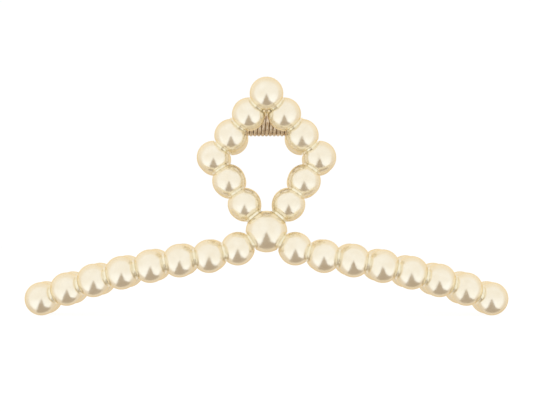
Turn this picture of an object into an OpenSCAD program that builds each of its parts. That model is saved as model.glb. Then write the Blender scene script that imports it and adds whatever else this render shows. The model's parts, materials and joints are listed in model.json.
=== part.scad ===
// Claw clip whose two halves are chains of pearls on moulded frames.
// It stands on the tips of its closed jaws: +Z runs up to the handle, +X along the jaws, -Y is the front.

/* [Pearls] */
// Diameter of a small pearl
pearl_d = 8.7; // [8.5:0.05:8.8]
// Diameter of the large pearl between the handle and the jaws
crown_d = 10.8; // [10.4:0.1:11]
// Distance between neighbouring pearls of an arm
arm_pitch = 7.71; // [7.65:0.01:7.8]
// Distance between neighbouring small pearls of the handle
handle_pitch = 7.38; // [7.34:0.01:7.44]
// Width of the bare collar of frame between two pearls
collar = 0.7; // [0.6:0.05:0.9]
// Gap between a pearl and the frame inside it
skin_gap = 0.03; // [0.02:0.01:0.04]

/* [Jaws] */
// Pearls in each arm of a jaw, not counting the large one
arm_pearls = 8; // [7:1:8]
// Distance from the large pearl to the first pearl of an arm
shoulder_pitch = 8.75; // [8.65:0.05:8.85]
// Slope of the link from the large pearl to the arm
shoulder_drop = 30.5; // [29.5:0.5:31.5]
// Turn of that link away from the other jaw
shoulder_turn = 8; // [6:1:10]
// Slope of the first link within the arm
elbow_drop = 14.5; // [13.5:0.5:15.5]
// Slope of the second link within the arm
arm_drop_near = 8.5; // [8:0.5:9.5]
// Slope of the last link within the arm
arm_drop_far = 19.5; // [18.5:0.5:20.5]
// Turn of the first link within the arm towards the other jaw, negative for away from it
arm_turn_near = -8; // [-9:1:-7]
// Turn of the last link of the arm towards the other jaw
arm_turn_far = 19; // [18:1:20]
// Gap between the two jaws' end pearls when closed
tip_gap = 2.7; // [2.2:0.1:3.2]

/* [Handle] */
// Distance from the large pearl to the first pearl of the handle
neck_pitch = 9.15; // [9.05:0.05:9.25]
// Angle of the neck link away from the middle of the handle
neck_spread = 39; // [38.5:0.5:39.5]
// Angle of the lower sides away from the middle of the handle
side_spread = 33.5; // [33:0.5:34]
// Lean of the lower sides towards the other half
side_lean = 5; // [4:0.5:6]
// Outward lean of the first link above the widest pearl
flare_near = 9.5; // [8.5:0.5:10.5]
// Outward lean of the link to the top pearl
flare_far = 19.5; // [18.5:0.5:20.5]

/* [Frame] */
// Radius of the rod that links two pearls
link_r = 1.95; // [1.8:0.05:2]
// Radius of the knob inside a small pearl
knob_r = 3; // [2.95:0.05:3.05]
// Radius of the knob inside the large pearl
crown_knob_r = 3.6; // [3.5:0.05:3.7]

/* [Hinge] */
// Height of the hinge axis above the jaw tips
hinge_z = 50; // [49.5:0.1:50.5]
// Diameter of the hinge pin
pin_d = 2; // [1.8:0.1:2.2]
// Clearance around the pin in every lug
pin_gap = 0.05; // [0.04:0.01:0.08]
// Radius of the round end of a lug
lug_r = 2.1; // [2.05:0.05:2.3]
// Thickness of a lug
lug_t = 1.5; // [1.3:0.1:1.5]
// Distance from the middle to the inner face of a front lug
lug_x = 6.4; // [6.3:0.1:6.5]
// Side gap between a front lug and a rear lug
lug_gap = 0.3; // [0.2:0.1:0.4]

/* [Spring] */
// Diameter of the spring wire
wire_d = 1.0; // [0.9:0.05:1]
// Outside diameter of the coil
coil_d = 5.8; // [5.6:0.1:5.9]
// Turns of the coil
coil_turns = 11; // [10:1:11]
// Distance from the hinge axis to the end of a spring leg
leg_reach = 5.4; // [5.2:0.1:5.5]
// Radius of the peg that a spring leg bears on
peg_r = 0.8; // [0.7:0.05:0.85]
// Distance from the hinge axis to a peg
peg_reach = 4; // [3.9:0.05:4.05]

/* [Hidden] */
$fn = 48;
SIDES = ["left", "right"];
HALVES = ["front", "rear"];
side_pearls = 3;
flare_pearls = 2;
handle_pearls = side_pearls + flare_pearls;
pearl_r = pearl_d / 2;
crown_r = crown_d / 2;
rod_inset = 2;
seam_turn = 37;

function pearl_names(half) = concat(
    [str(half, "_crown_pearl"), str(half, "_top_pearl")],
    [for (side = SIDES, i = [1:handle_pearls]) str(half, "_handle_pearl_", side, "_", i)],
    [for (side = SIDES, i = [1:arm_pearls]) str(half, "_arm_pearl_", side, "_", i)]);

// Colours
PEARL_WHITE = [0.93, 0.88, 0.77];
FRAME_GOLD = [0.88, 0.79, 0.58];
SPRING_STEEL = [0.55, 0.47, 0.38];
PIN_STEEL = [0.72, 0.70, 0.66];

// Each link is a vector from one pearl to the next on the right-hand side of the front half.
// drop and spread are slopes seen from the front, turn and lean are towards the other half.
function arm_link(length, drop, turn) =
    length * [cos(drop) * cos(turn), cos(drop) * sin(turn), -sin(drop)];
function side_link(length, spread, lean) =
    length * [cos(lean) * sin(spread), sin(lean), cos(lean) * cos(spread)];

// Links of the arm from the large pearl outwards
function arm_drop(i) =
    i == 2 ? elbow_drop
    : arm_drop_near + (i - 3) / (arm_pearls - 3) * (arm_drop_far - arm_drop_near);
function arm_turn(i) = arm_turn_near + (i - 2) / (arm_pearls - 2) * (arm_turn_far - arm_turn_near);
function arm_step(i) =
    i == 1
    ? arm_link(shoulder_pitch, shoulder_drop, -shoulder_turn)
    : arm_link(arm_pitch, arm_drop(i), arm_turn(i));

// Links of the lower side of the handle from the large pearl upwards
function side_step(i) =
    i == 1
    ? side_link(neck_pitch, neck_spread, side_lean)
    : side_link(handle_pitch, side_spread, side_lean);

// The upper side closes on the middle in equal steps while it flares outwards
half_width = sum_steps(side_pearls, "side")[0];
function flare_step(i) =
    let (
        across = half_width / (flare_pearls + 1),
        out = handle_pitch * sin(flare_near + (i - 1) / flare_pearls * (flare_far - flare_near)))
    [-across, -out, sqrt(pow(handle_pitch, 2) - pow(across, 2) - pow(out, 2))];

function one_step(i, chain) =
    chain == "arm" ? arm_step(i)
    : chain == "side" ? side_step(i)
    : flare_step(i);
function sum_steps(count, chain) =
    count == 0 ? [0, 0, 0] : sum_steps(count - 1, chain) + one_step(count, chain);

// The end pearls stand on the ground, with tip_gap between them and those of the other jaw
arm_run = sum_steps(arm_pearls, "arm");
crown_at = [0, -tip_gap / 2 - pearl_r - arm_run[1], pearl_r - arm_run[2]];
widest_at = crown_at + sum_steps(side_pearls, "side");
top_at = widest_at + sum_steps(flare_pearls + 1, "flare");

// Places of the pearls on the right-hand side, counted from the large pearl
function arm_at(i) = crown_at + sum_steps(i, "arm");
function handle_at(i) =
    i == 0 ? crown_at
    : i <= side_pearls ? crown_at + sum_steps(i, "side")
    : i <= handle_pearls ? widest_at + sum_steps(i - side_pearls, "flare")
    : top_at;
function mirrored(p) = [-p[0], p[1], p[2]];
function on_side(side, p) = side == "left" ? mirrored(p) : p;

// The first pearl above the widest one hides the lugs, whose straps run from it to the hinge
hinge_pearl = side_pearls + 1;
hinge_at = [0, 0, hinge_z];
strap_run = handle_at(hinge_pearl) - hinge_at;
strap_len = norm([strap_run[1], strap_run[2]]);
strap_tilt = atan2(-strap_run[2], -strap_run[1]);
strap_h = 1.75 * lug_r;
slot_gap = 0.1;
rear_lug_x = lug_x + lug_t + lug_gap;

// Pin, with a head outside each rear lug
pin_r = pin_d / 2;
pin_grip = rear_lug_x + lug_t + 0.1;
pin_head_r = 1.6 * pin_r;
pin_head_t = 0.9;
pin_edge = 0.35;

// Spring: each leg runs along the strap of its half and rests on a peg
wire_r = wire_d / 2;
coil_r = coil_d / 2 - wire_r;
coil_pitch = wire_d + 0.02;
leg_start = 90 + strap_tilt;
leg_end = 90 - strap_tilt - 360 * coil_turns;
coil_half = coil_pitch * (leg_start - leg_end) / 360 / 2;
TURN_STEPS = 12;
WIRE_SIDES = 8;
peg_in = coil_half - wire_r;
peg_up = coil_r - wire_r - peg_r - skin_gap;

// Turns local +Z to point along v
module point_along(v) {
    rotate([0, acos(v[2] / norm(v)), atan2(v[1], v[0])]) children();
}

// Rod between two knobs, which hide its ends
module rod(from, to, r) {
    translate(from) point_along(to - from) translate([0, 0, rod_inset])
        cylinder(h = norm(to - from) - 2 * rod_inset, r = r);
}

// Everything past the plane where a pearl stops, half a collar short of its neighbour
module neighbour_cut(from, to, r, next_r) {
    span = norm(to - from);
    crease = (pow(span, 2) + pow(r, 2) - pow(next_r, 2)) / (2 * span);
    translate(from) point_along(to - from) translate([0, 0, crease - collar / 2])
        cylinder(h = r, r = 2 * r);
}

// Ball whose poles lie on the line to the next one, and whose seam is turned clear of the rod's
module ball(at, next, r) {
    translate(at) point_along(next - at) rotate([0, 0, seam_turn]) sphere(r = r);
}

// One pearl: a shell over the frame's knob and rods, flat at each collar
module pearl(at, r, inner_r, neighbours) {
    difference() {
        ball(at, neighbours[0][0], r);
        ball(at, neighbours[0][0], inner_r + skin_gap);
        for (next = neighbours) {
            rod(at, next[0], link_r + skin_gap);
            neighbour_cut(at, next[0], r, next[1]);
        }
    }
}

// The pearls are drawn in the place of the front half
module crown_pearl() {
    color(PEARL_WHITE) pearl(crown_at, crown_r, crown_knob_r, [
        for (side = SIDES, p = [arm_at(1), handle_at(1)]) [on_side(side, p), pearl_r]]);
}

module top_pearl() {
    color(PEARL_WHITE) pearl(top_at, pearl_r, knob_r, [
        for (side = SIDES) [on_side(side, handle_at(handle_pearls)), pearl_r]]);
}

module handle_pearl(half, side, i) {
    below = [on_side(side, handle_at(i - 1)), i == 1 ? crown_r : pearl_r];
    above = [on_side(side, handle_at(i + 1)), pearl_r];
    color(PEARL_WHITE) difference() {
        pearl(on_side(side, handle_at(i)), pearl_r, knob_r, [below, above]);
        if (i == hinge_pearl) mirror([side == "left" ? 1 : 0, 0, 0]) lug(lug_inner_x(half), slot_gap);
    }
}

module arm_pearl(side, i) {
    inner = [on_side(side, arm_at(i - 1)), i == 1 ? crown_r : pearl_r];
    outer = i < arm_pearls ? [[on_side(side, arm_at(i + 1)), pearl_r]] : [];
    color(PEARL_WHITE) pearl(on_side(side, arm_at(i)), pearl_r, knob_r, concat([inner], outer));
}

// Children are drawn as if the strap of the lug ran straight back along -Y from the hinge
module on_strap() {
    translate(hinge_at) rotate([strap_tilt, 0, 0]) children();
}

function lug_inner_x(half) = half == "front" ? lug_x : rear_lug_x;

// Right-hand lug: round end and strap, or the slot for it when grow is not 0
module lug(inner_x, grow = 0) {
    thick = lug_t + 2 * grow;
    on_strap() translate([inner_x - grow, 0, 0]) {
        rotate([0, 90, 0]) cylinder(h = thick, r = lug_r + grow);
        translate([0, -strap_len - grow, -strap_h / 2 - grow])
            cube([thick, strap_len + grow, strap_h + 2 * grow]);
    }
}

// Peg on the inside of a right-hand lug, for the leg of the spring
module spring_peg(inner_x) {
    on_strap() translate([peg_in, -peg_reach, peg_up]) rotate([0, 90, 0])
        cylinder(h = inner_x + lug_t / 2 - peg_in, r = peg_r);
}

// Frame of one half, in the place of the front one: knobs, rods, two lugs and a peg
module half_frame(half, peg_side) {
    inner_x = lug_inner_x(half);
    difference() {
        union() {
            ball(crown_at, handle_at(1), crown_knob_r);
            ball(top_at, handle_at(handle_pearls), knob_r);
            for (side = SIDES) {
                for (i = [1:arm_pearls]) {
                    ball(on_side(side, arm_at(i)), on_side(side, arm_at(i - 1)), knob_r);
                    rod(on_side(side, arm_at(i - 1)), on_side(side, arm_at(i)), link_r);
                }
                for (i = [1:handle_pearls])
                    ball(on_side(side, handle_at(i)), on_side(side, handle_at(i - 1)), knob_r);
                for (i = [1:handle_pearls + 1])
                    rod(on_side(side, handle_at(i - 1)), on_side(side, handle_at(i)), link_r);
                mirror([side == "left" ? 1 : 0, 0, 0]) lug(inner_x);
            }
            mirror([peg_side == "left" ? 1 : 0, 0, 0]) spring_peg(inner_x);
        }
        translate(hinge_at) rotate([0, 90, 0])
            cylinder(h = 4 * lug_x, r = pin_r + pin_gap, center = true);
    }
}

module front_frame() {
    color(FRAME_GOLD) half_frame("front", "left");
}

module rear_frame() {
    color(FRAME_GOLD) mirror([0, 1, 0]) half_frame("rear", "right");
}

module hinge_pin() {
    tip = pin_grip + pin_head_t;
    half_outline = [
        [pin_r, 0],
        [pin_r, pin_grip],
        [pin_head_r, pin_grip],
        [pin_head_r, tip - pin_edge],
        [pin_head_r - pin_edge, tip],
        [0, tip]];
    color(PIN_STEEL) translate(hinge_at) rotate([0, 90, 0]) rotate_extrude()
        polygon(concat(half_outline, [for (i = [len(half_outline) - 1:-1:1])
            [half_outline[i][0], -half_outline[i][1]]]));
}

// Point of the coil, or of a leg that leaves it at angle a, and the ring of wire around it
function coil_point(a, x, along) =
    hinge_at + [x, coil_r * cos(a) + along * sin(a), coil_r * sin(a) - along * cos(a)];
function wire_ring(centre, a) = [
    for (k = [0:WIRE_SIDES - 1]) let (t = 360 * k / WIRE_SIDES)
        centre + wire_r * [sin(t), cos(t) * cos(a), cos(t) * sin(a)]];

module torsion_spring() {
    steps = round((leg_start - leg_end) / 360 * TURN_STEPS);
    coil_rings = [
        for (i = [0:steps]) let (a = leg_start + i / steps * (leg_end - leg_start))
            wire_ring(coil_point(a, coil_half * (2 * i / steps - 1), 0), a)];
    rings = concat(
        [wire_ring(coil_point(leg_start, -coil_half, -leg_reach), leg_start)],
        coil_rings,
        [wire_ring(coil_point(leg_end, coil_half, leg_reach), leg_end)]);
    last = len(rings) - 1;
    sides = [
        for (i = [0:last - 1], k = [0:WIRE_SIDES - 1]) let (next = (k + 1) % WIRE_SIDES)
            [i * WIRE_SIDES + k, i * WIRE_SIDES + next,
                (i + 1) * WIRE_SIDES + next, (i + 1) * WIRE_SIDES + k]];
    start_cap = [for (k = [WIRE_SIDES - 1:-1:0]) k];
    end_cap = [for (k = [0:WIRE_SIDES - 1]) last * WIRE_SIDES + k];
    color(SPRING_STEEL) polyhedron(
        points = [for (ring = rings) each ring],
        faces = concat([start_cap], sides, [end_cap]),
        convexity = 10);
}

// Moves a part of the front half to its own half
module on_half(half) {
    mirror([0, half == "rear" ? 1 : 0, 0]) children();
}

front_frame();
rear_frame();
hinge_pin();
torsion_spring();
for (half = HALVES) {
    on_half(half) crown_pearl();
    on_half(half) top_pearl();
    for (side = SIDES, i = [1:handle_pearls])
        on_half(half) handle_pearl(half, side, i);
    for (side = SIDES, i = [1:arm_pearls])
        on_half(half) arm_pearl(side, i);
}
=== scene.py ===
"""Looks of a pearl claw clip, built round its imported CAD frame. Metres, +Z up, -Y is the front."""

import json
import math

import bmesh
import bpy
import numpy as np
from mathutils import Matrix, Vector


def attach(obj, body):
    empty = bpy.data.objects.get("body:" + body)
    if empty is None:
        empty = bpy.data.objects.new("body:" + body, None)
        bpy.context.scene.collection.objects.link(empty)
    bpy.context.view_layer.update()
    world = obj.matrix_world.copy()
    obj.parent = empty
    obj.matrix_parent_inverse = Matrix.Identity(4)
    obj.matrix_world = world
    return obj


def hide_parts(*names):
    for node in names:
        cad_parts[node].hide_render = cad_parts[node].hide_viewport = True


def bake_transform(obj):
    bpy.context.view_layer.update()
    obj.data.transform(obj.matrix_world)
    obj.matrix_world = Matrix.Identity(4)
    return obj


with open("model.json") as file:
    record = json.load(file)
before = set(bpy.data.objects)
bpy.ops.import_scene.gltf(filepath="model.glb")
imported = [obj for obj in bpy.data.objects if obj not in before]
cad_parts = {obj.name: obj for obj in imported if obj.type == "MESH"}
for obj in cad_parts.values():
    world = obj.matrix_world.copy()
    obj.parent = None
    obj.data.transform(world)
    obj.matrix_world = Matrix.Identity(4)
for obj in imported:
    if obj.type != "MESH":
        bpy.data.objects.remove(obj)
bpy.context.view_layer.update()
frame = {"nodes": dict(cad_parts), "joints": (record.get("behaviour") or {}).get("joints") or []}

MM = 0.001

# ---------------------------------------------------------------- sizes, in millimetres
# Those of the CAD model, with roundings and the spool shape of the collars added.
COLLAR = 0.70          # bare frame between two pearls
LINK_R = 1.95          # rod between two pearls
COLLAR_R = 2.15        # bare collar at its thinnest
SKIN_GAP = 0.03        # gap between a pearl and the frame
KNOB_R = {"crown": 3.6, "small": 3.0}
ROD_INSET = 2.0        # a rod starts this far from the middle of a pearl
FLARE = 0.45           # a collar widens this much towards the pearls
RIM = 0.14             # rounding of a pearl's edge at a collar
MOUTH = 0.05           # rounding of the bore's edge
PIN_R = 1.0
PIN_GAP = 0.05
PIN_HEAD_R = 1.6
PIN_HEAD_T = 0.9
LUG_R = 2.1
LUG_T = 1.5
LUG_X = {"front": 6.4, "rear": 8.2}
LUG_EDGE = 0.22        # rounding of a lug's edges
SLOT_GAP = 0.1         # gap round a lug in its pearl
STRAP_HALF = 0.875 * LUG_R
WIRE_R = 0.5
COIL_R = 2.4
COIL_TURNS = 11
COIL_PITCH = 1.02
LEG_REACH = 5.4
PEG_R = 0.8
PEG_REACH = 4.0
HINGE_PEARL = 4        # handle pearl that hides a lug's root, counted from the crown

# ---------------------------------------------------------------- mesh detail
SEGMENTS = 64          # points round a pearl
OUTER_RINGS = 26       # rings over the outside of a pearl
INNER_RINGS = 14       # rings over its inside
TURNED_SEGMENTS = 48   # points round a turned piece
BALL_RINGS = 20
RIM_POINTS = 6
MOUTH_POINTS = 3
SPOOL_POINTS = 11
LUG_POINTS = 33        # points round the end of a lug
WIRE_SEGMENTS = 16     # points round the wire
TURN_STEPS = 40        # rings in one turn of the coil
LEG_STEPS = 9
CROWN_SUBDIVISIONS = 6
SHARP_ANGLE = math.radians(35)

# ---------------------------------------------------------------- halves and sides
HALVES = ("front", "rear")
SIDES = ("left", "right")
SIDE_SIGN = {"left": -1.0, "right": 1.0}
HALF_SIGN = {"front": 1.0, "rear": -1.0}
BODY = {"front": "front_half", "rear": "rear_half"}


# ---------------------------------------------------------------- places, read from the CAD frame
def fitted_sphere(node):
    """Centre and radius, in millimetres, of the ball that a CAD pearl was cut from.

    Each pass fits a ball to the points close to the last one, so the flats and bores drop out.
    """
    co = np.array([v.co for v in frame["nodes"][node].data.vertices]) / MM
    centre = (co.min(0) + co.max(0)) / 2
    radius = (co.max(0) - co.min(0)).max() / 2
    for reach in (0.12, 0.03, 0.01):
        shell = co[np.abs(np.linalg.norm(co - centre, axis=1) / radius - 1) < reach]
        terms = np.c_[2 * shell, np.ones(len(shell))]
        fit = np.linalg.lstsq(terms, (shell ** 2).sum(1), rcond=None)[0]
        centre = fit[:3]
        radius = math.sqrt(fit[3] + centre @ centre)
    return centre, radius


def count_of(stem):
    return sum(name.startswith(stem) for name in frame["nodes"])


def chains(half):
    """The pearls' names in order, from the crown out along each arm and up each side of the handle."""
    found = []
    for side in SIDES:
        arm = f"{half}_arm_pearl_{side}_"
        handle = f"{half}_handle_pearl_{side}_"
        found.append([f"{half}_crown_pearl"] + [arm + str(i + 1) for i in range(count_of(arm))])
        found.append([f"{half}_crown_pearl"]
                     + [handle + str(i + 1) for i in range(count_of(handle))]
                     + [f"{half}_top_pearl"])
    return found


PEARLS = {name: fitted_sphere(name) for name in frame["nodes"] if "pearl" in name}
HINGE = np.array(frame["joints"][0]["pos_m"]) / MM


def unit(v):
    return v / np.linalg.norm(v)


def link(here, there):
    """Direction from one pearl to the next, and how far along it their round surfaces would meet."""
    (a, ra), (b, rb) = PEARLS[here], PEARLS[there]
    span = np.linalg.norm(b - a)
    return unit(b - a), (span ** 2 + ra ** 2 - rb ** 2) / (2 * span)


NEIGHBOURS = {name: [] for name in PEARLS}
for half in HALVES:
    for chain in chains(half):
        for here, there in zip(chain, chain[1:]):
            NEIGHBOURS[here].append(there)
            NEIGHBOURS[there].append(here)


# ---------------------------------------------------------------- mesh helpers
def new_object(name, vertices, faces):
    """Mesh object from points in millimetres, with its faces turned outwards."""
    mesh = bpy.data.meshes.new(name)
    mesh.from_pydata([tuple(v * MM) for v in vertices], [], faces)
    work = bmesh.new()
    work.from_mesh(mesh)
    bmesh.ops.recalc_face_normals(work, faces=work.faces)
    work.to_mesh(mesh)
    work.free()
    mesh.polygons.foreach_set("use_smooth", [True] * len(mesh.polygons))
    obj = bpy.data.objects.new(name, mesh)
    bpy.context.scene.collection.objects.link(obj)
    return obj


def joined_rings(rings, loop=False):
    """Points and faces of a surface through rings of equal count. A ring of one point is a pole."""
    points, starts = [], []
    for ring in rings:
        starts.append(len(points))
        points.extend(ring)
    faces = []
    pairs = list(zip(range(len(rings)), range(1, len(rings))))
    if loop:
        pairs.append((len(rings) - 1, 0))
    for i, j in pairs:
        count = max(len(rings[i]), len(rings[j]))
        for k in range(count):
            n = (k + 1) % count
            face = []
            for ring, corner in ((i, k), (i, n), (j, n), (j, k)):
                index = starts[ring] + (corner if len(rings[ring]) > 1 else 0)
                if index not in face:
                    face.append(index)
            faces.append(face)
    return points, faces


def circle_points(centre, normal, across, radius, count):
    """Points of a circle round normal, starting at the direction across."""
    up = np.cross(normal, across)
    turns = np.linspace(0, 2 * math.pi, count, endpoint=False)
    return [centre + radius * (math.cos(t) * across + math.sin(t) * up) for t in turns]


def any_across(normal):
    """A unit vector at right angles to normal."""
    guide = np.array([1.0, 0, 0]) if abs(normal[0]) < 0.8 else np.array([0, 0, 1.0])
    return unit(guide - normal * (guide @ normal))


def turned(name, profile, start, axis, count=TURNED_SEGMENTS):
    """Solid of revolution from (height, radius) pairs along axis, with radius 0 at the poles."""
    across = any_across(axis)
    rings = []
    for height, radius in profile:
        centre = start + height * axis
        rings.append([centre] if radius == 0 else circle_points(centre, axis, across, radius, count))
    return new_object(name, *joined_rings(rings))


def apply_boolean(obj, other, operation):
    """Adds or cuts one closed mesh with another, which is used up."""
    modifier = obj.modifiers.new("boolean", "BOOLEAN")
    modifier.operation = operation
    modifier.solver = "MANIFOLD"
    modifier.object = other
    bpy.context.view_layer.update()
    mesh = bpy.data.meshes.new_from_object(obj.evaluated_get(bpy.context.evaluated_depsgraph_get()))
    mesh.materials.clear()
    obj.modifiers.clear()
    obj.data = mesh
    bpy.data.objects.remove(other)


def sharpen(obj):
    """Smooth shading with hard edges where faces meet at more than SHARP_ANGLE."""
    obj.data.polygons.foreach_set("use_smooth", [True] * len(obj.data.polygons))
    obj.data.set_sharp_from_angle(angle=SHARP_ANGLE)


# ---------------------------------------------------------------- pearls
def end_profile(radius, flat, knob):
    """(height, radius) pairs from the round surface over the rim, across the flat and down the bore."""
    bore = LINK_R + SKIN_GAP
    rim_x = math.sqrt((radius - RIM) ** 2 - (flat - RIM) ** 2)
    start = math.atan2(flat - RIM, rim_x)
    rim = [(flat - RIM + RIM * math.sin(a), rim_x + RIM * math.cos(a))
           for a in np.linspace(start, math.pi / 2, RIM_POINTS)]
    mouth = [(flat - MOUTH + MOUTH * math.cos(a), bore + MOUTH - MOUTH * math.sin(a))
             for a in np.linspace(0, math.pi / 2, MOUTH_POINTS)]
    return rim + mouth + [(math.sqrt(knob ** 2 - bore ** 2), bore)]


def ball_rings(radius, ends, count, across):
    """Rings over a ball between two end circles; planes that turn evenly from one circle to the other."""
    (axis_a, height_a), (axis_b, height_b) = ends
    angle_a = math.acos(height_a / radius)
    angle_b = math.acos(height_b / radius)
    rings = []
    for step in np.linspace(0, 1, count + 2)[1:-1]:
        height = radius * math.cos(angle_a + step * (math.pi - angle_a - angle_b))
        share = (height_a - height) / (height_a + height_b)
        normal = (1 - share) * axis_a - share * axis_b
        size = np.linalg.norm(normal)
        offset = ((1 - share) * height_a - share * height_b) / size
        normal = normal / size
        rings.append(circle_points(offset * normal, normal, across,
                                   math.sqrt(radius ** 2 - offset ** 2), SEGMENTS))
    return rings


def strung_pearl(name):
    """Pearl shell with a neighbour on one side or on two."""
    centre, radius = PEARLS[name]
    knob = KNOB_R["small"] + SKIN_GAP
    links = [link(name, other) for other in NEIGHBOURS[name]]
    axis_a, flat_a = links[0][0], links[0][1] - COLLAR / 2
    profile_a = end_profile(radius, flat_a, knob)
    if len(links) == 1:
        across = any_across(axis_a)
        outer = [[-radius * axis_a]]
        inner = [[-knob * axis_a]]
        for ring_radius, stop, rings in ((radius, profile_a[0][0], outer), (knob, profile_a[-1][0], inner)):
            stop_angle = math.acos(stop / ring_radius)
            for angle in np.linspace(math.pi, stop_angle, OUTER_RINGS)[1:-1]:
                rings.append(circle_points(ring_radius * math.cos(angle) * axis_a, axis_a, across,
                                           ring_radius * math.sin(angle), SEGMENTS))
        mouth = [circle_points(h * axis_a, axis_a, across, r, SEGMENTS) for h, r in profile_a]
        points, faces = joined_rings(outer + mouth + inner[::-1])
    else:
        axis_b, flat_b = links[1][0], links[1][1] - COLLAR / 2
        profile_b = end_profile(radius, flat_b, knob)
        crossed = np.cross(axis_a, axis_b)
        across = unit(crossed) if np.linalg.norm(crossed) > 0.01 else any_across(axis_a)
        first = [circle_points(h * axis_a, axis_a, across, r, SEGMENTS) for h, r in reversed(profile_a)]
        last = [circle_points(h * axis_b, -axis_b, across, r, SEGMENTS) for h, r in profile_b]
        outer_ends = ((axis_a, profile_a[0][0]), (axis_b, profile_b[0][0]))
        inner_ends = ((axis_a, profile_a[-1][0]), (axis_b, profile_b[-1][0]))
        outer = ball_rings(radius, outer_ends, OUTER_RINGS, across)
        inner = ball_rings(knob, inner_ends, INNER_RINGS, across)
        points, faces = joined_rings(first + outer + last + inner[::-1], loop=True)
    return new_object(name + "_shell", [centre + p for p in points], faces)


def crown_pearl(name):
    """The large pearl shell: a ball cut by a flat and a bore towards each of its four neighbours."""
    centre, radius = PEARLS[name]
    knob = KNOB_R["crown"] + SKIN_GAP
    bore = LINK_R + SKIN_GAP
    cuts = []
    work = bmesh.new()
    bmesh.ops.create_icosphere(work, subdivisions=CROWN_SUBDIVISIONS, radius=1)
    for other in NEIGHBOURS[name]:
        axis, crease = link(name, other)
        flat = crease - COLLAR / 2
        profile = end_profile(radius, flat, knob)
        angles = [math.atan2(r, h) for h, r in profile[:RIM_POINTS]]
        mouth_angle = math.atan2(bore, flat)
        inner_angle = math.asin(bore / knob)
        cuts.append((axis, flat, angles, mouth_angle, inner_angle))
        for angle in angles + [inner_angle]:
            bmesh.ops.bisect_plane(work, geom=work.verts[:] + work.edges[:] + work.faces[:],
                                   plane_co=Vector(axis * math.cos(angle)), plane_no=Vector(axis))
        bmesh.ops.bisect_plane(work, geom=work.verts[:] + work.edges[:] + work.faces[:],
                               plane_co=Vector(axis * math.cos(mouth_angle)), plane_no=Vector(axis),
                               clear_outer=True)
    work.verts.index_update()
    edge = {v.index for e in work.edges if e.is_boundary for v in e.verts}
    outer, inner = [], []
    for v in work.verts:
        u = unit(np.array(v.co))
        outside, inside = radius, knob
        for axis, flat, angles, mouth_angle, inner_angle in cuts:
            along = float(np.clip(u @ axis, -1, 1))
            angle = math.acos(along)
            if v.index in edge and angle < mouth_angle + 0.02:
                side = unit(u - axis * along)
                u = flat * axis + bore * side
                outside = inside = np.linalg.norm(u)
                u = u / outside
                break
            if angle < inner_angle:
                inside = bore / math.sin(angle)
            if angle <= angles[-1]:
                outside = flat / along
            elif angle < angles[0]:
                rim_x = math.sqrt((radius - RIM) ** 2 - (flat - RIM) ** 2)
                middle = (flat - RIM) * math.cos(angle) + rim_x * math.sin(angle)
                outside = middle + math.sqrt(middle ** 2 - (radius - RIM) ** 2 + RIM ** 2)
        outer.append(centre + outside * u)
        inner.append(centre + inside * u)
    faces = [[v.index for v in f.verts] for f in work.faces]
    count = len(outer)
    inner_index = {i: (i if i in edge else i + count) for i in range(count)}
    work.free()
    faces += [[inner_index[i] for i in reversed(f)] for f in faces]
    obj = new_object(name + "_shell", outer + inner, faces)
    tidy = bmesh.new()
    tidy.from_mesh(obj.data)
    bmesh.ops.delete(tidy, geom=[v for v in tidy.verts if not v.link_faces], context="VERTS")
    tidy.to_mesh(obj.data)
    tidy.free()
    return obj


# ---------------------------------------------------------------- frames
def ball(name, centre, radius, axis):
    steps = [(-radius, 0.0)]
    steps += [(-radius * math.cos(a), radius * math.sin(a))
              for a in np.linspace(0, math.pi, BALL_RINGS)[1:-1]]
    steps += [(radius, 0.0)]
    return turned(name, steps, centre, axis)


def rod(here, there):
    """Rod between two pearls, with the bare collar hollowed like a spool."""
    axis, crease = link(here, there)
    centre = PEARLS[here][0]
    span = np.linalg.norm(PEARLS[there][0] - centre)
    reach = COLLAR / 2 - 0.01
    spool = [(crease + s * reach, COLLAR_R + FLARE * s * s) for s in np.linspace(-1, 1, SPOOL_POINTS)]
    profile = [(ROD_INSET, 0.0), (ROD_INSET, LINK_R), (crease - reach, LINK_R)]
    profile += spool
    profile += [(crease + reach, LINK_R), (span - ROD_INSET, LINK_R), (span - ROD_INSET, 0.0)]
    return turned("rod", profile, centre, axis)


def strap_axes(half):
    """Unit vectors along a half's lug from the hinge to its pearl, and square to it, both in the YZ plane."""
    root = PEARLS[f"{half}_handle_pearl_right_{HINGE_PEARL}"][0] - HINGE
    along = unit(np.array([0.0, root[1], root[2]]))
    upward = np.array([0.0, -along[2], along[1]]) * -HALF_SIGN[half]
    return along, upward, math.hypot(root[1], root[2])


def lug(half, side, grow=0.0):
    """Flat strap with a round end at the hinge and softened edges, or the slot for it when grow is not 0."""
    along, upward, length = strap_axes(half)
    sign = SIDE_SIGN[side]
    rings = []
    for x, shrink in ((-grow, LUG_EDGE), (0.3 * LUG_EDGE - grow, 0.3 * LUG_EDGE), (LUG_EDGE - grow, 0),
                      (LUG_T - LUG_EDGE + grow, 0), (LUG_T - 0.3 * LUG_EDGE + grow, 0.3 * LUG_EDGE),
                      (LUG_T + grow, LUG_EDGE)):
        radius = LUG_R + grow - shrink
        half_height = STRAP_HALF + grow - shrink
        meet = math.asin(half_height / radius)
        base = HINGE + np.array([sign * (LUG_X[half] + x), 0, 0])
        outline = [base + length * along + half_height * upward]
        outline += [base - radius * math.cos(a) * along + radius * math.sin(a) * upward
                    for a in np.linspace(math.pi - meet, meet - math.pi, LUG_POINTS)]
        outline += [base + length * along - half_height * upward]
        rings.append(outline)
    points, faces = joined_rings(rings)
    size = len(rings[0])
    faces += [list(range(size)), list(range(len(points) - size, len(points)))]
    return new_object("lug", points, faces)


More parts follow.
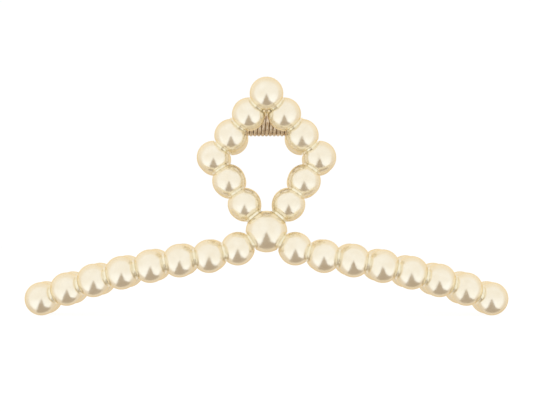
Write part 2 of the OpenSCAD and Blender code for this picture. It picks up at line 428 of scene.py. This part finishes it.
def peg(half, side):
    """Round peg inside a lug, under the spring's leg."""
    along, upward, _ = strap_axes(half)
    sign = SIDE_SIGN[side]
    tip = coil_half()
    start = HINGE + np.array([sign * (tip - WIRE_R), 0, 0]) + PEG_REACH * along
    start = start + (COIL_R - WIRE_R - PEG_R - SKIN_GAP) * upward
    length = LUG_X[half] + LUG_T / 2 - (tip - WIRE_R)
    edge = 0.2
    profile = [(0, 0.0), (0, PEG_R - edge), (0.3 * edge, PEG_R - 0.3 * edge), (edge, PEG_R),
               (length, PEG_R), (length, 0.0)]
    return turned("peg", profile, start, np.array([sign, 0, 0]), 32)


def half_frame(half, peg_side):
    """One half's moulded core: knobs, rods with collars, two lugs and a peg, with the pin's bore."""
    name = f"{half}_core"
    crown = f"{half}_crown_pearl"
    solid = ball(name, PEARLS[crown][0], KNOB_R["crown"], np.array([0, 0, 1.0]))
    for other in NEIGHBOURS:
        if other.startswith(half) and other != crown:
            axis = link(other, NEIGHBOURS[other][0])[0]
            apply_boolean(solid, ball("knob", PEARLS[other][0], KNOB_R["small"], axis), "UNION")
    for chain in chains(half):
        for here, there in zip(chain, chain[1:]):
            apply_boolean(solid, rod(here, there), "UNION")
    for side in SIDES:
        apply_boolean(solid, lug(half, side), "UNION")
    apply_boolean(solid, peg(half, peg_side), "UNION")
    reach = 2 * LUG_X["rear"]
    bore_r = PIN_R + PIN_GAP
    bore = [(-reach, 0.0), (-reach, bore_r), (reach, bore_r), (reach, 0.0)]
    apply_boolean(solid, turned("bore", bore, HINGE, np.array([1.0, 0, 0])), "DIFFERENCE")
    sharpen(solid)
    return solid


# ---------------------------------------------------------------- hinge
def strap_tilt():
    along, _, _ = strap_axes("front")
    return math.atan2(-along[2], -along[1])


def coil_angles():
    """Angles about the hinge at which the wire leaves the front leg and joins the rear one."""
    tilt = strap_tilt()
    return math.pi / 2 + tilt, math.pi / 2 - tilt - 2 * math.pi * COIL_TURNS


def coil_half():
    start, stop = coil_angles()
    return COIL_PITCH * (start - stop) / (4 * math.pi)


def torsion_spring():
    """Wound wire with a straight leg at each end, swept as one tube with rounded ends."""
    start, stop = coil_angles()
    half = coil_half()
    steps = COIL_TURNS * TURN_STEPS
    stations = [(start, -half, reach) for reach in np.linspace(-LEG_REACH, 0, LEG_STEPS)[:-1]]
    stations += [(start + s * (stop - start), half * (2 * s - 1), 0.0) for s in np.linspace(0, 1, steps)]
    stations += [(stop, half, reach) for reach in np.linspace(0, LEG_REACH, LEG_STEPS)[1:]]
    rings = []
    for angle, x, along in stations:
        out = np.array([0, math.cos(angle), math.sin(angle)])
        onward = np.array([0, math.sin(angle), -math.cos(angle)])
        centre = HINGE + np.array([x, 0, 0]) + COIL_R * out + along * onward
        rings.append((centre, onward, out))
    wire = [circle_points(c, onward, out, WIRE_R, WIRE_SEGMENTS) for c, onward, out in rings]
    caps = []
    for (centre, onward, out), way in ((rings[0], -1), (rings[-1], 1)):
        cap = [circle_points(centre + way * WIRE_R * 0.5 * math.sin(a) * onward, onward, out,
                             WIRE_R * math.cos(a), WIRE_SEGMENTS) for a in (0.5, 1.0, 1.35)]
        cap.append([centre + way * WIRE_R * 0.5 * onward])
        caps.append(cap)
    points, faces = joined_rings(caps[0][::-1] + wire + caps[1])
    return new_object("wound_spring", points, faces)


def hinge_pin():
    """Pin with a domed head outside each rear lug."""
    grip = LUG_X["rear"] + LUG_T + 0.1
    tip = grip + PIN_HEAD_T
    head = [(grip, PIN_R), (grip, PIN_HEAD_R - 0.1), (grip + 0.1, PIN_HEAD_R)]
    head += [(grip + 0.3 + (tip - grip - 0.3) * math.sin(a), PIN_HEAD_R * (0.35 + 0.65 * math.cos(a)))
             for a in np.linspace(0, math.pi / 2, 8)]
    head.append((tip, 0.0))
    profile = [(-h, r) for h, r in reversed(head)] + head
    obj = turned("riveted_pin", profile, HINGE, np.array([1.0, 0, 0]))
    sharpen(obj)
    return obj


# ---------------------------------------------------------------- materials
def material(name, color, metallic, roughness, **sockets):
    """Principled material with plain values, which noise may then replace."""
    mat = bpy.data.materials.new(name)
    mat.use_nodes = True
    shader = mat.node_tree.nodes["Principled BSDF"]
    shader.inputs["Base Color"].default_value = (*color, 1)
    shader.inputs["Metallic"].default_value = metallic
    shader.inputs["Roughness"].default_value = roughness
    for socket, value in sockets.items():
        shader.inputs[socket.replace("_", " ")].default_value = value
    return mat, mat.node_tree, shader


def noise(tree, scale, detail, low, high):
    """Noise in object space, from low to high."""
    place = tree.nodes.new("ShaderNodeTexCoord")
    texture = tree.nodes.new("ShaderNodeTexNoise")
    texture.inputs["Scale"].default_value = scale
    texture.inputs["Detail"].default_value = detail
    tree.links.new(place.outputs["Object"], texture.inputs["Vector"])
    spread = tree.nodes.new("ShaderNodeMapRange")
    spread.inputs["From Min"].default_value = 0.3
    spread.inputs["From Max"].default_value = 0.7
    spread.inputs["To Min"].default_value = low
    spread.inputs["To Max"].default_value = high
    tree.links.new(texture.outputs["Fac"], spread.inputs["Value"])
    return spread.outputs["Result"]


def vary_colour(tree, shader, dark, light, scale, detail):
    """Base colour that drifts between two tones."""
    mix = tree.nodes.new("ShaderNodeMix")
    mix.data_type = "RGBA"
    mix.inputs["A"].default_value = (*dark, 1)
    mix.inputs["B"].default_value = (*light, 1)
    tree.links.new(noise(tree, scale, detail, 0, 1), mix.inputs["Factor"])
    tree.links.new(mix.outputs["Result"], shader.inputs["Base Color"])


def bump(tree, shader, height, distance, strength):
    node = tree.nodes.new("ShaderNodeBump")
    node.inputs["Strength"].default_value = strength
    node.inputs["Distance"].default_value = distance
    tree.links.new(height, node.inputs["Height"])
    tree.links.new(node.outputs["Normal"], shader.inputs["Normal"])


def pearl_material():
    """Champagne pearl lacquer: soft metallic body, golden at the rims, under a thin clear coat."""
    mat, tree, shader = material("pearl_lacquer", (0.93, 0.86, 0.69), 0.88, 0.18,
                                 Coat_Weight=0.2, Coat_Roughness=0.05)
    shader.inputs["Specular Tint"].default_value = (1.0, 0.85, 0.56, 1)
    vary_colour(tree, shader, (0.92, 0.85, 0.68), (0.96, 0.91, 0.77), 420, 3)
    tree.links.new(noise(tree, 900, 2, 0.18, 0.26), shader.inputs["Roughness"])
    bump(tree, shader, noise(tree, 1500, 2, 0, 1), 0.00002, 0.32)
    return mat


def frame_material():
    """Bare plastic between the pearls: pale cream and glossier than the lacquer."""
    mat, tree, shader = material("golden_core", (0.98, 0.93, 0.78), 0.85, 0.1,
                                 Coat_Weight=0.5, Coat_Roughness=0.04)
    vary_colour(tree, shader, (0.96, 0.91, 0.73), (1.0, 0.96, 0.83), 500, 3)
    tree.links.new(noise(tree, 1100, 2, 0.08, 0.14), shader.inputs["Roughness"])
    return mat


def spring_material():
    """Drawn spring wire, brownish between bright rubbed places."""
    mat, tree, shader = material("spring_wire", (0.45, 0.34, 0.22), 0.9, 0.3)
    vary_colour(tree, shader, (0.6, 0.46, 0.32), (0.92, 0.82, 0.68), 700, 4)
    tree.links.new(noise(tree, 1600, 3, 0.24, 0.4), shader.inputs["Roughness"])
    bump(tree, shader, noise(tree, 2600, 4, 0, 1), 0.00002, 0.3)
    return mat


def pin_material():
    """Plain drawn steel with fine scratches."""
    mat, tree, shader = material("pin_steel", (0.6, 0.57, 0.52), 1.0, 0.28)
    vary_colour(tree, shader, (0.5, 0.47, 0.42), (0.68, 0.65, 0.6), 900, 4)
    tree.links.new(noise(tree, 2200, 4, 0.2, 0.38), shader.inputs["Roughness"])
    return mat


# ---------------------------------------------------------------- studio
FRONT_HIGH = (0.97, 0.95, 0.93)      # what the pearls mirror from the camera's side, above and below
FRONT_LOW = (1.1, 1.12, 1.16)
BACK_HIGH = (0.93, 0.85, 0.73)       # and from behind the clip, above and below
BACK_LOW = (0.78, 0.68, 0.56)
CARD_TONE = (0.42, 0.33, 0.24)


def mapped(tree, value, low, high):
    """Value from low to high, spread smoothly over 0 to 1."""
    node = tree.nodes.new("ShaderNodeMapRange")
    node.interpolation_type = "SMOOTHSTEP"
    node.inputs["From Min"].default_value = low
    node.inputs["From Max"].default_value = high
    tree.links.new(value, node.inputs["Value"])
    return node.outputs["Result"]


def mixed(tree, factor, a, b):
    """Colour between a and b; either may be a fixed colour or a socket."""
    node = tree.nodes.new("ShaderNodeMix")
    node.data_type = "RGBA"
    tree.links.new(factor, node.inputs["Factor"])
    for socket, value in (("A", a), ("B", b)):
        if isinstance(value, tuple):
            node.inputs[socket].default_value = (*value, 1)
        else:
            tree.links.new(value, node.inputs[socket])
    return node.outputs["Result"]


def studio_world():
    """White surroundings for the camera; in reflections, paler on its side and warmer behind the clip."""
    world = bpy.data.worlds.new("studio")
    bpy.context.scene.world = world
    world.use_nodes = True
    tree = world.node_tree
    tree.nodes.clear()
    output = tree.nodes.new("ShaderNodeOutputWorld")
    seen = tree.nodes.new("ShaderNodeBackground")
    seen.inputs["Color"].default_value = (1, 1, 1, 1)
    seen.inputs["Strength"].default_value = 1.02
    lit = tree.nodes.new("ShaderNodeBackground")
    path = tree.nodes.new("ShaderNodeLightPath")
    choose = tree.nodes.new("ShaderNodeMixShader")
    place = tree.nodes.new("ShaderNodeTexCoord")
    split = tree.nodes.new("ShaderNodeSeparateXYZ")
    tree.links.new(place.outputs["Generated"], split.inputs["Vector"])
    behind = mixed(tree, mapped(tree, split.outputs["Z"], -0.7, 0.5), BACK_LOW, BACK_HIGH)
    facing = mixed(tree, mapped(tree, split.outputs["Z"], -0.9, 0.3), FRONT_LOW, FRONT_HIGH)
    around = mixed(tree, mapped(tree, split.outputs["Y"], -0.15, 0.15), facing, behind)
    tree.links.new(around, lit.inputs["Color"])
    tree.links.new(path.outputs["Is Camera Ray"], choose.inputs["Fac"])
    tree.links.new(lit.outputs["Background"], choose.inputs[1])
    tree.links.new(seen.outputs["Background"], choose.inputs[2])
    tree.links.new(choose.outputs["Shader"], output.inputs["Surface"])


def flat_sheet(name, corners, faces):
    mesh = bpy.data.meshes.new(name)
    mesh.from_pydata(corners, [], faces)
    sheet = bpy.data.objects.new(name, mesh)
    bpy.context.scene.collection.objects.link(sheet)
    return sheet


def studio_floor():
    """Nearly white floor that takes faint contact shadows."""
    size = 3.0
    corners = [(-size, -size, 0), (size, -size, 0), (size, size, 0), (-size, size, 0)]
    floor = flat_sheet("floor", corners, [(0, 1, 2, 3)])
    mat, tree, shader = material("floor_paper", (0.2, 0.2, 0.2), 0.0, 0.9)
    shader.inputs["Specular IOR Level"].default_value = 0.0
    shader.inputs["Emission Color"].default_value = (1, 1, 1, 1)
    shader.inputs["Emission Strength"].default_value = 0.86
    floor.data.materials.append(mat)
    floor.visible_glossy = False


def dark_card(eye):
    """Dark card below the camera that the pearls mirror as a wedge. Only reflections see it."""
    eye = Vector(eye)
    low = -0.75
    corners = [eye + Vector((-0.006, 0, 0)), eye + Vector((0.006, 0, 0)),
               (0.34, eye.y, low), (-0.34, eye.y, low), (0.75, 0.3, low), (-0.36, 0.3, low)]
    card = flat_sheet("card", corners, [(0, 1, 2, 3), (3, 2, 4, 5)])
    mat, tree, shader = material("card_cloth", (0, 0, 0), 0.0, 1.0)
    shader.inputs["Specular IOR Level"].default_value = 0.0
    shader.inputs["Emission Color"].default_value = (*CARD_TONE, 1)
    shader.inputs["Emission Strength"].default_value = 1.0
    card.data.materials.append(mat)
    card.visible_camera = False
    card.visible_diffuse = False
    card.visible_shadow = False
    card.visible_transmission = False


def soft_light(name, place, target, width, height, watts):
    data = bpy.data.lights.new(name, "AREA")
    data.shape = "RECTANGLE"
    data.size = width
    data.size_y = height
    data.energy = watts
    light = bpy.data.objects.new(name, data)
    light.location = place
    light.rotation_euler = (Vector(target) - Vector(place)).to_track_quat("-Z", "Y").to_euler()
    light.visible_glossy = False
    bpy.context.scene.collection.objects.link(light)


def camera():
    """Level with the jaws, a little below the middle of the clip, tipped up slightly."""
    data = bpy.data.cameras.new("camera")
    data.lens = 127.64
    data.sensor_width = 36
    data.clip_start = 0.05
    data.clip_end = 10
    cam = bpy.data.objects.new("camera", data)
    cam.location = (0.0, -0.5, 0.0203)
    cam.rotation_euler = (math.radians(90.961), 0, 0)
    bpy.context.scene.collection.objects.link(cam)
    bpy.context.scene.camera = cam
    return cam


# ---------------------------------------------------------------- build
PEARL = pearl_material()
CORE = frame_material()

SLOTTED = {f"{half}_handle_pearl_{side}_{HINGE_PEARL}": (half, side)
           for half in HALVES for side in SIDES}

for name in PEARLS:
    shell = crown_pearl(name) if len(NEIGHBOURS[name]) > 2 else strung_pearl(name)
    if name in SLOTTED:
        apply_boolean(shell, lug(*SLOTTED[name], SLOT_GAP), "DIFFERENCE")
        sharpen(shell)
    shell.data.materials.append(PEARL)
    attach(shell, BODY[name.split("_")[0]])
    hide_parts(name)

for half, peg_side in (("front", "left"), ("rear", "right")):
    core = half_frame(half, peg_side)
    core.data.materials.append(CORE)
    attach(core, BODY[half])
    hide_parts(f"{half}_frame")

pin = hinge_pin()
pin.data.materials.append(pin_material())
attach(pin, "front_half")
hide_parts("hinge_pin")

spring = torsion_spring()
spring.data.materials.append(spring_material())
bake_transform(spring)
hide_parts("torsion_spring")

studio_world()
studio_floor()
view = camera()
dark_card(view.location)
soft_light("key", (-0.35, -0.45, 0.65), (0, 0, 0.02), 0.4, 0.4, 1.5)
bpy.context.scene.view_settings.view_transform = "Standard"
